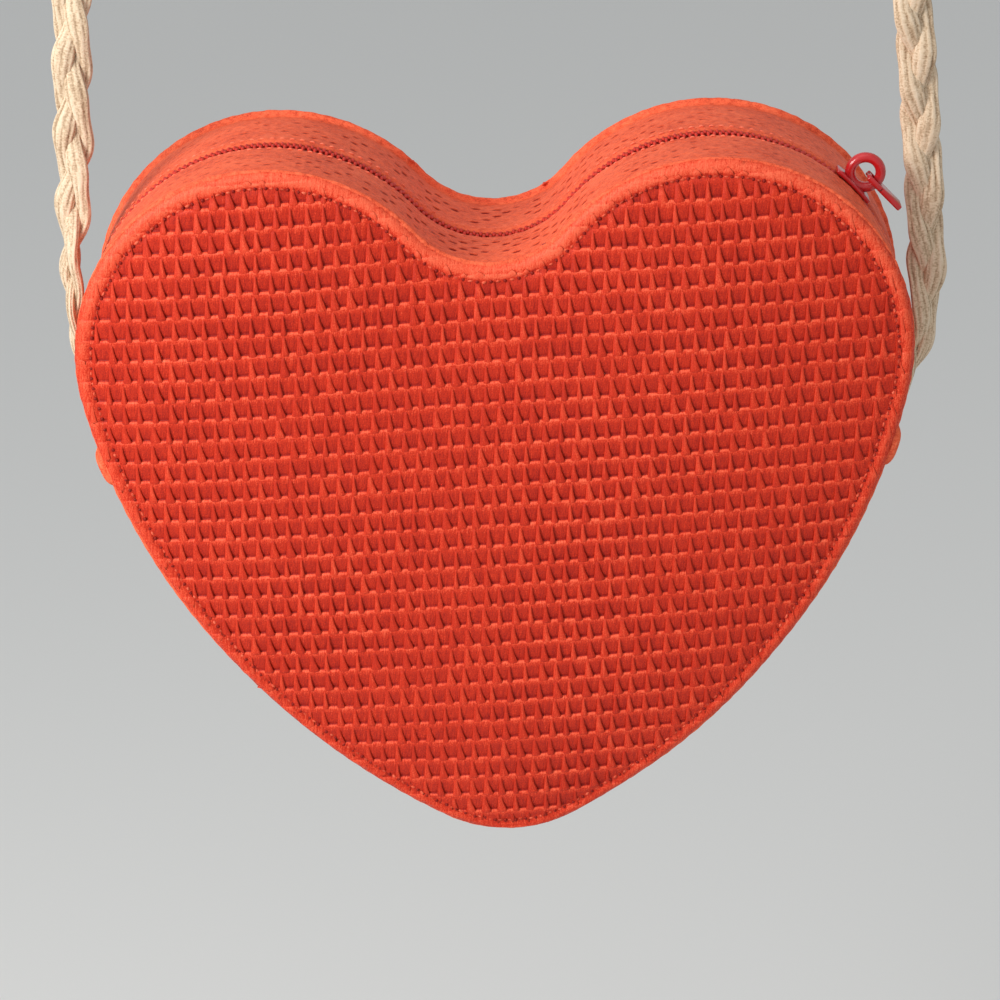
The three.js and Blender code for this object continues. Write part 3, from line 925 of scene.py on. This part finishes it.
def gloss_material(name, light, dark, roughness, coat):
    """A glossy red finish with a faint cloud in its colour and its gloss."""
    material, nodes, links, shader = new_material(name)
    shader.inputs["Coat Weight"].default_value = coat
    shader.inputs["Coat Roughness"].default_value = COAT_ROUGHNESS
    cloud = object_cloud(nodes, links, GLOSS_CLOUD_SCALE)
    cloud.inputs["Detail"].default_value = GLOSS_CLOUD_DETAIL
    tint_by(nodes, links, cloud.outputs["Fac"], dark, light)
    gloss = nodes.new("ShaderNodeMath")
    gloss.operation = "MULTIPLY_ADD"
    gloss.inputs[1].default_value = GLOSS_CHANGE
    gloss.inputs[2].default_value = roughness
    links.new(cloud.outputs["Fac"], gloss.inputs[0])
    links.new(gloss.outputs[0], shader.inputs["Roughness"])
    return material


def flat_lift(way, y):
    """No rise and a middle tone: cloth that lies flat."""
    return 0, 0.5


def zip_coil(side):
    """One side's teeth, half a pitch along from the other side's."""
    bm = straw_mesh()
    shift = 0 if side == FRONT else 0.5
    count = round((left_seam - right_seam - 2 * TOOTH_MARGIN) / TOOTH_PITCH)
    for number in range(count):
        way = right_seam + TOOTH_MARGIN + (number + shift) * TOOTH_PITCH
        point, out, onward = along_heart(way)
        base = point - TOOTH_INSET * out

        def place(ring, turn):
            part = ring / TOOTH_RINGS
            reach = TOOTH_ROOT + (-TOOTH_TIP - TOOTH_ROOT) * part
            thick = math.sqrt(math.sin(math.pi * part))
            half_width = TOOTH_HALF_WIDTH * (0.85 + 0.25 * part)
            skin = math.cos(turn) * TOOTH_HALF_HEIGHT * out + math.sin(turn) * half_width * onward
            line = base + Vector((0, side * reach, 0))
            return line + thick * skin, (part, turn, number), 0.6

        tube(bm, TOOTH_RINGS, TOOTH_SIDES, place)
    close_tubes(bm)
    return bm


tape_cloth = cloth_material(
    "zip_tape_cloth", light=colour(214, 50, 28), dark=colour(170, 24, 12),
    threads=2.2, bump_strength=0.4, roughness=0.8,
)
coil_nylon = gloss_material(
    "zip_coil_nylon", light=colour(222, 52, 28), dark=colour(190, 34, 16), roughness=0.5, coat=0
)
for name, side in SIDES:
    outer, inner = section(TAPE_LOOP_OUTER, side), section(TAPE_LOOP_INNER, side)
    strip = upper_strip(side, outer, inner, TAPE_STEP, PLAIN_GRAIN, flat_lift)
    tape = add_piece(name + "_tape_cloth", strip, tape_cloth)
    carry(tape, side)
    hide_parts(name + "_zip_tape")
for name, side in SIDES:
    coil = add_piece(name + "_coil_teeth", zip_coil(side), coil_nylon)
    carry(coil, side)
    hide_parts(name + "_zip_coil")

# Slider: a red lacquered casting of two plates, bent along the lobe, with a ring on the upper one
# that carries the pull tab.
SLIDER_TURN = math.radians(47)
SLIDER_LENGTH = 10.8 * MM
SLIDER_WIDTH = 6.8 * MM
SLIDER_NOSE_SHARE = 0.72
PLATE_MIDDLE = 46.8 * MM
PLATE_THICK = 1 * MM
SOLE_MIDDLE = 43.2 * MM
SOLE_THICK = 0.8 * MM
PLATE_CUTS = 8
PLATE_BEVEL = 0.3 * MM
POST_LENGTH = 5 * MM
POST_WIDTH = 0.7 * MM
RING_CENTRE = 50.7 * MM
RING_RADIUS = 3.7 * MM
RING_HALF_THICK = 1.25 * MM
RING_HALF_WIDTH = 1.4 * MM
RING_STEPS = 36
RING_SIDES = 14

lobe_place = Matrix.Translation(lobe_centre) @ Matrix.Rotation(SLIDER_TURN, 4, "Y")


def block(bm, length, width, height, cuts, bevel, place):
    """A block cut across its length and with its edges rounded, then moved by place."""
    tone_and_painted_light = bm.verts.layers.float["tone_and_painted_light"]
    cube = bmesh.ops.create_cube(bm, size=1, matrix=Matrix.Diagonal((length, width, height, 1)))
    edges = {edge for vert in cube["verts"] for edge in vert.link_edges}
    long_edges = [e for e in edges if abs(e.verts[0].co.x - e.verts[1].co.x) > length / 2]
    if cuts:
        bmesh.ops.subdivide_edges(bm, edges=long_edges, cuts=cuts, use_grid_fill=True)
    bm.normal_update()
    own_edges = [edge for edge in bm.edges if not edge.verts[0][tone_and_painted_light]]
    sharp = [edge for edge in own_edges if edge.calc_face_angle(0) > 1]
    bmesh.ops.bevel(
        bm, geom=sharp, offset=bevel, offset_type="OFFSET", segments=3, profile=0.5,
        affect="EDGES", material=-1, clamp_overlap=True,
    )
    for vert in bm.verts:
        if not vert[tone_and_painted_light]:
            vert.co = place(vert.co)
            vert[tone_and_painted_light] = 0.5


def bent_plate(bm, radius, thick):
    """A plate that tapers to the slider's nose and bends round the lobe's centre."""

    def bend(point):
        along = point.x / SLIDER_LENGTH + 0.5
        taper = SLIDER_NOSE_SHARE + (1 - SLIDER_NOSE_SHARE) * math.sin(math.pi / 2 * along)
        turn = point.x / radius
        reach = radius + point.z
        return Vector((reach * math.sin(turn), point.y * taper, reach * math.cos(turn)))

    block(bm, SLIDER_LENGTH, SLIDER_WIDTH, thick, PLATE_CUTS, PLATE_BEVEL, bend)


def pull_ring(bm):
    """The ring on the upper plate, round the axis that the pull tab turns on."""

    def place(step, turn):
        arc = 2 * math.pi * step / RING_STEPS
        out = Vector((math.sin(arc), 0, -math.cos(arc)))
        reach = RING_RADIUS + math.cos(turn) * RING_HALF_THICK
        point = Vector((0, math.sin(turn) * RING_HALF_WIDTH, RING_CENTRE)) + reach * out
        return point, (step, turn, 0), 0.5

    tube(bm, RING_STEPS, RING_SIDES, place)


slider_mesh = straw_mesh()
bent_plate(slider_mesh, PLATE_MIDDLE, PLATE_THICK)
bent_plate(slider_mesh, SOLE_MIDDLE, SOLE_THICK)
post_middle = Vector((0, 0, (PLATE_MIDDLE + SOLE_MIDDLE) / 2))
block(
    slider_mesh, POST_LENGTH, POST_WIDTH, PLATE_MIDDLE - SOLE_MIDDLE, 0, PLATE_BEVEL / 2,
    lambda point: point + post_middle,
)
pull_ring(slider_mesh)
close_tubes(slider_mesh)
bmesh.ops.transform(slider_mesh, matrix=lobe_place, verts=slider_mesh.verts)
red_lacquer = gloss_material(
    "red_lacquer", light=colour(212, 30, 36), dark=colour(172, 14, 20), roughness=0.18, coat=0.7
)
slider = add_piece("slider_casting", slider_mesh, red_lacquer)
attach(slider, "slider")
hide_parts("slider")

# Pull tab: a thin lacquered tab with two arms and a pin, which hold it on the slider's ring. It
# slides round the ring as it turns.
PULL_LENGTH = 12 * MM
PULL_WIDTH = 5.6 * MM
PULL_THICK = 1.4 * MM
PULL_ARM_START = 0.9 * MM
PULL_ARM_LENGTH = 4.8 * MM
PULL_ARM_WIDTH = 0.9 * MM
PULL_PIN_PLACE = 1.55 * MM
PULL_PIN_RADIUS = 0.6 * MM
PULL_PIN_SIDES = 16
PULL_BEVEL = 0.35 * MM
pivot_place = Vector(joints["pull_swing"]["pos_m"])
pull_place = Matrix.Translation(pivot_place) @ Matrix.Rotation(SLIDER_TURN, 4, "Y")

pull_mesh = straw_mesh()
tab_length = PULL_LENGTH - PULL_ARM_START - PULL_ARM_LENGTH + PULL_ARM_WIDTH
tab_middle = Vector((PULL_LENGTH - tab_length / 2, 0, 0))
block(
    pull_mesh, tab_length, PULL_WIDTH, PULL_THICK, 0, PULL_BEVEL,
    lambda point: point + tab_middle,
)
for hand in (-1, 1):
    aside = hand * (PULL_WIDTH - PULL_ARM_WIDTH) / 2
    arm_middle = Vector((PULL_ARM_START + PULL_ARM_LENGTH / 2, aside, 0))
    block(
        pull_mesh, PULL_ARM_LENGTH, PULL_ARM_WIDTH, PULL_THICK, 0, PULL_BEVEL,
        lambda point: point + arm_middle,
    )
bmesh.ops.create_cone(
    pull_mesh, cap_ends=True, segments=PULL_PIN_SIDES, radius1=PULL_PIN_RADIUS,
    radius2=PULL_PIN_RADIUS, depth=PULL_WIDTH - PULL_ARM_WIDTH,
    matrix=Matrix.Translation((PULL_PIN_PLACE, 0, 0)) @ Matrix.Rotation(math.pi / 2, 4, "X"),
)
bmesh.ops.transform(pull_mesh, matrix=pull_place, verts=pull_mesh.verts)
pull = add_piece("pull_casting", pull_mesh, red_lacquer)
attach(pull, "pull")
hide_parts("pull_tab")

# Seam bands: a folded strip of the gusset's cloth closes each side seam, and stands a little
# proud of the lips there.
BAND_HALF_HEIGHT = 5 * MM
BAND_HALF_THICK = 0.7 * MM
BAND_REACH = 27 * MM
NUB_REACH = 21 * MM
NUB_RAMP = 4 * MM
NUB_RISE = 0.9 * MM
BAND_INSET = 0.1 * MM
BAND_WAVE = 0.15 * MM
BAND_MOTTLE = 0.05 * MM
BAND_TONE = 0.7
BAND_RINGS = 80
BAND_SIDES = 28


def seam_band(seam):
    """The strip over one side seam, thickened to a nub at either lip."""
    bm = straw_mesh()

    def place(ring, turn):
        closed = 0 if ring in (0, BAND_RINGS) else 1
        y = (2 * ring / BAND_RINGS - 1) * BAND_REACH
        way = seam + blunt(math.cos(turn)) * BAND_HALF_HEIGHT * closed
        point, out = heart(way)
        mottle = noise.noise(Vector((400 * way, 420 * y, 2.5)))
        wave = noise.noise(Vector((90 * y, 3 * seam, 7)))
        lift = blunt(math.sin(turn)) * BAND_HALF_THICK * closed - BAND_INSET + BAND_WAVE * wave
        nub = min(max((abs(y) - NUB_REACH) / NUB_RAMP, 0), 1) * max(math.sin(turn), 0) ** 2 * closed
        lift += BAND_MOTTLE * mottle + NUB_RISE * nub
        point = point + lift * out + Vector((0, y, 0))
        return point, (way / MM, y / MM, 0), BAND_TONE + 0.15 * mottle

    tube(bm, BAND_RINGS, BAND_SIDES, place)
    close_tubes(bm)
    return bm


for hand, seam in [("right", right_seam), ("left", left_seam)]:
    band = add_piece(hand + "_band_cloth", seam_band(seam), gusset_straw)
    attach(band, "bag")
    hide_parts(hand + "_seam_band")

# Strap: a flat three-strand braid of undyed straw, each strand a bundle of straws. It goes from
# one side seam up over its hanging point and down to the other.
# Across, back and up from the level of the lobes' centres, in millimetres. It is the route of the
# CAD's tube, but runs closer to the bag at both ends, where the flat braid is pressed on
STRAP_ROUTE = [
    (-99.6, 0, -23), (-100.3, 0, -19), (-101.4, 0, -12.3), (-102.2, 0, -5), (-102.6, 0, 5),
    (-102.7, 0, 16), (-101.6, 0, 28), (-100.4, 0, 40), (-99.3, 0, 60), (-97.6, 0, 85), (-94.8, 0, 127),
    (-90.4, 0, 167), (-83.6, 0, 205), (-74, 0, 239), (-62, 0, 269), (-48.2, 0, 293),
    (-33, 0, 310.5), (-16.8, 0, 321.3), (0, 0, 325), (16.8, 0, 321.3), (33, 0, 310.5),
    (48.2, 0, 293), (62, 0, 269), (74, 0, 239), (84, 0, 205), (91.2, 0.2, 167),
    (96, 1.2, 127), (99.2, 3.4, 97), (101.6, 6, 75), (103.4, 8, 55), (104.3, 8.8, 40),
    (105, 8.2, 28), (105.4, 6.4, 16), (105.2, 3.4, 3.5), (103.8, 1.2, -5.9), (102.8, 0.4, -11),
    (101.5, 0, -15.4), (100.3, 0, -19.5), (99.6, 0, -23),
]
# The same height, then the braid's turn in degrees and the share of its thickness that is left:
# it turns its flat side to the seams and is pressed down there
LEFT_LAY = [
    (-23, -88, 0.2), (-19, -85, 0.35), (-12.3, -80, 0.55), (-5, -80, 0.8), (5, -80, 0.85),
    (16, -70, 1), (28, -42, 1), (40, -24, 1), (60, -14, 1),
]
RIGHT_LAY = [
    (-23, -88, 0.2), (-19.5, -85, 0.35), (-15.4, -72, 0.6), (-11, -55, 0.85), (-5.9, -45, 0.95),
    (3.5, -25, 1), (16, -12, 1), (30, 0, 1),
]
LAY_CHANGE = 60 * MM
BRAID_PERIOD = 54 * MM
BRAID_SWING = 2.45 * MM
BRAID_WEAVE = 1.3 * MM
BRAID_STEP = 1.2 * MM
BRAID_END = 12 * MM
BRAID_END_SPREAD = 0.72
STRAND_HALF_WIDTH = 2.2 * MM
STRAND_LEAF = 0.75 * MM
STRAND_HALF_THICK = 1.35 * MM
STRAND_SIDES = 40
STRAWS_PER_STRAND = 8
ROUTE_STEPS = 24


def smooth_route(points):
    """The route as one smooth line through its points."""
    ways = []
    for number, point in enumerate(points):
        before = points[max(number - 1, 0)]
        after = points[min(number + 1, len(points) - 1)]
        ways.append((after - before).normalized())
    line = []
    for number in range(len(points) - 1):
        first, second = points[number], points[number + 1]
        third = (second - first).length / 3
        line += geometry.interpolate_bezier(
            first, first + third * ways[number], second - third * ways[number + 1], second,
            ROUTE_STEPS + 1,
        )[:-1]
    return line + [points[-1]]


def evenly(line, step):
    """Points a step apart along a line, its length, and its two ends among them."""
    lengths = [0]
    for first, second in zip(line, line[1:]):
        lengths.append(lengths[-1] + (second - first).length)
    count = round(lengths[-1] / step)
    even, number = [], 0
    for part in range(count + 1):
        wanted = lengths[-1] * part / count
        while number < len(line) - 2 and lengths[number + 1] < wanted:
            number += 1
        share = (wanted - lengths[number]) / (lengths[number + 1] - lengths[number])
        even.append(line[number].lerp(line[number + 1], share))
    return even, lengths[-1]


strap_points = [Vector((x * MM, y * MM, lobe_centre.z + z * MM)) for x, y, z in STRAP_ROUTE]
strap_line, strap_length = evenly(smooth_route(strap_points), BRAID_STEP)
strap_rings = len(strap_line) - 1


def strap_frame(ring):
    """Point, the braid's two directions across, and its share of thickness, at a ring."""
    before = strap_line[max(ring - 1, 0)]
    after = strap_line[min(ring + 1, strap_rings)]
    onward = (after - before).normalized()
    wide = onward.cross(Vector((0, 1, 0))).normalized()
    deep = wide.cross(onward)
    point = strap_line[ring]
    height = (point.z - lobe_centre.z) / MM
    left_share = min(max(0.5 - point.x / LAY_CHANGE, 0), 1)
    left, right = between(LEFT_LAY, height), between(RIGHT_LAY, height)
    turn, thick = [a * left_share + b * (1 - left_share) for a, b in zip(left, right)]
    twist = Matrix.Rotation(math.radians(turn), 3, onward)
    return point, twist @ wide, twist @ deep, thick


strap_frames = [strap_frame(ring) for ring in range(strap_rings + 1)]


def strand_middle(ring, strand):
    """Where a strand's middle is: it swings across the braid and weaves over and under."""
    point, wide, deep, thick = strap_frames[ring]
    phase = 2 * math.pi * (ring * BRAID_STEP / BRAID_PERIOD + strand / 3)
    end_gap = min(ring, strap_rings - ring) * BRAID_STEP
    spread = BRAID_END_SPREAD + (1 - BRAID_END_SPREAD) * min(end_gap / BRAID_END, 1)
    swing = BRAID_SWING * math.sin(phase) * spread
    return point + swing * wide + BRAID_WEAVE * math.sin(2 * phase) * thick * deep


def strap_braid():
    """Three strands, each with grooves between its straws, darkened with painted shade."""
    bm = straw_mesh()
    for strand in range(3):
        middles = [strand_middle(ring, strand) for ring in range(strap_rings + 1)]

        def place(ring, turn):
            onward = middles[min(ring + 1, strap_rings)] - middles[max(ring - 1, 0)]
            onward.normalize()
            _, _, deep, share = strap_frames[ring]
            wide = onward.cross(deep).normalized()
            deep = share * wide.cross(onward)
            closed = 0 if ring in (0, strap_rings) else 1
            along = ring * BRAID_STEP
            crossing = math.sin(4 * math.pi * (along / BRAID_PERIOD + strand / 3)) ** 2
            half_width = STRAND_HALF_WIDTH + STRAND_LEAF * crossing
            wander = 1.5 * noise.noise(Vector((30 * along, strand * 5.1, 3)))
            groove = abs(math.sin(STRAWS_PER_STRAND / 2 * turn + wander))
            around = Vector((120 * along, 2 * math.cos(turn), 2 * math.sin(turn) + 9 * strand))
            uneven = noise.noise(around)
            swell = (0.84 + 0.16 * groove**0.5 + 0.08 * uneven) * closed
            skin = math.cos(turn) * half_width * wide + math.sin(turn) * STRAND_HALF_THICK * deep
            # Painted shade darkens the grooves between the straws; the uneven part of the tone is random
            tone = 0.25 + 0.5 * groove**0.5 + 0.25 * uneven
            fibre = (along / MM, turn, 10 * strand)
            return middles[ring] + swell * skin, fibre, tone

        tube(bm, strap_rings, STRAND_SIDES, place)
    close_tubes(bm)
    return bm


natural_straw = straw_material(
    "natural_straw", light=colour(232, 213, 188), raised=colour(214, 189, 158),
    dark_tone_and_painted_shade=colour(124, 88, 56), gloss_mean=0.5, bump_strength=0.4,
)
strap = add_piece("strap_braid", strap_braid(), natural_straw)
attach(strap, "strap")
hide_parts("strap")

# Strap ends: below each side of the braid its strands are pressed flat and sewn down over the
# side seam, behind the front lip.
END_RINGS = 30
END_SIDES = 36
END_STRAWS = 9
END_LENGTH = 16 * MM
END_TOP_LAP = 4 * MM
END_HALF_WIDTH = 4.4 * MM
END_TOP_HALF_THICK = 0.65 * MM
END_LOW_HALF_THICK = 0.4 * MM


def strap_end(node):
    """The flattened end at a node of the CAD, from a little above it."""
    low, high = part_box(node)
    hand = math.copysign(1, low.x)
    inner = min(abs(low.x), abs(high.x))
    bm = straw_mesh()

    def place(ring, turn):
        closed = 0 if ring in (0, END_RINGS) else 1
        part = ring / END_RINGS
        thick = END_TOP_HALF_THICK + (END_LOW_HALF_THICK - END_TOP_HALF_THICK) * part
        groove = abs(math.sin(END_STRAWS / 2 * turn + 1.5 * part))
        out = thick + blunt(math.cos(turn)) * thick * (0.85 + 0.15 * groove) * closed
        y = math.sin(turn) * END_HALF_WIDTH * (1 - 0.15 * part) * closed
        point = Vector((hand * (inner + out), y, high.z + END_TOP_LAP - END_LENGTH * part))
        # Painted shade darkens the grooves between the straws
        return point, (part * END_LENGTH / MM, turn, 50 + hand), 0.4 + 0.5 * groove

    tube(bm, END_RINGS, END_SIDES, place)
    close_tubes(bm)
    return bm


for hand in ("left", "right"):
    node = hand + "_strap_end"
    end = add_piece(hand + "_end_straw", strap_end(node), natural_straw)
    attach(end, "strap")
    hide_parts(node)

# Lining: thin plain cloth in a duller red, behind both panels and inside the gussets. It shows
# only while the mouth is open.
LINING_INSET = 2.7 * MM
LINING_REACH = 24 * MM
LINING_THICK = 0.5 * MM
LINING_STEP = 3 * MM
LINING_RIPPLE = 0.2 * MM
ZIP_LINING_OUTER = [(3.4, 6), (3.4, 12), (3.4, 18), (3.4, 23.2)]
ZIP_LINING_INNER = [(4, 23.2), (4, 14), (4, 6)]
BOTTOM_LINING_OUTER = [(2.5, 23), (2.5, 12), (2.5, 0)]
BOTTOM_LINING_INNER = [(3.1, 0), (3.1, 12), (3.1, 23)]


def panel_lining(side):
    """Cloth behind one panel, with a faint ripple."""
    bm = straw_mesh()
    fibre = bm.verts.layers.float_vector["fibre"]
    count = round(2 * PANEL_HALF_WIDTH / LINING_STEP)
    grid = bmesh.ops.create_grid(
        bm, x_segments=count, y_segments=count, size=PANEL_HALF_WIDTH
    )["verts"]
    outside = set()
    for vert in grid:
        x, z = vert.co.x, panel_middle.z + vert.co.y
        inset, near, out, _ = inset_at(x, z)
        if inset < LINING_INSET:
            outside.add(vert)
            x, _, z = near - LINING_INSET * out
        ripple = LINING_RIPPLE * noise.noise(Vector((60 * x, 60 * z, side)))
        vert.co = (x, side * (LINING_REACH + ripple), z)
        vert[fibre] = (x / MM, z / MM, 0)
    trim_panel(bm, outside, side, LINING_THICK)
    return bm


lining_cloth = cloth_material(
    "lining_cloth", light=colour(196, 92, 78), dark=colour(150, 54, 46),
    threads=1.4, bump_strength=0.3, roughness=0.9,
)
for name, side, nodes in [
    ("front_lining_cloth", FRONT, ("front_lining_upper", "front_lining_lower")),
    ("back_lining_cloth", BACK, ("back_lining",)),
]:
    lining = add_piece(name, panel_lining(side), lining_cloth)
    carry(lining, side)
    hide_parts(*nodes)
for name, side in SIDES:
    outer, inner = section(ZIP_LINING_OUTER, side), section(ZIP_LINING_INNER, side)
    strip = upper_strip(side, outer, inner, LINING_STEP, PLAIN_GRAIN, flat_lift)
    zip_lining = add_piece(name + "_zip_lining_cloth", strip, lining_cloth)
    carry(zip_lining, side)
    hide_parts(name + "_zip_lining")

bottom_outer = section(BOTTOM_LINING_OUTER, BACK) + section(BOTTOM_LINING_OUTER[-2::-1], FRONT)
bottom_inner = section(BOTTOM_LINING_INNER[::-1], FRONT) + section(BOTTOM_LINING_INNER[1:], BACK)
bottom_strip = swept_cloth(
    -right_seam, right_seam, bottom_outer, bottom_inner, LINING_STEP, PLAIN_GRAIN, flat_lift
)
bottom_lining = add_piece("bottom_lining_cloth", bottom_strip, lining_cloth)
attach(bottom_lining, "bag")
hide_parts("bottom_lining")
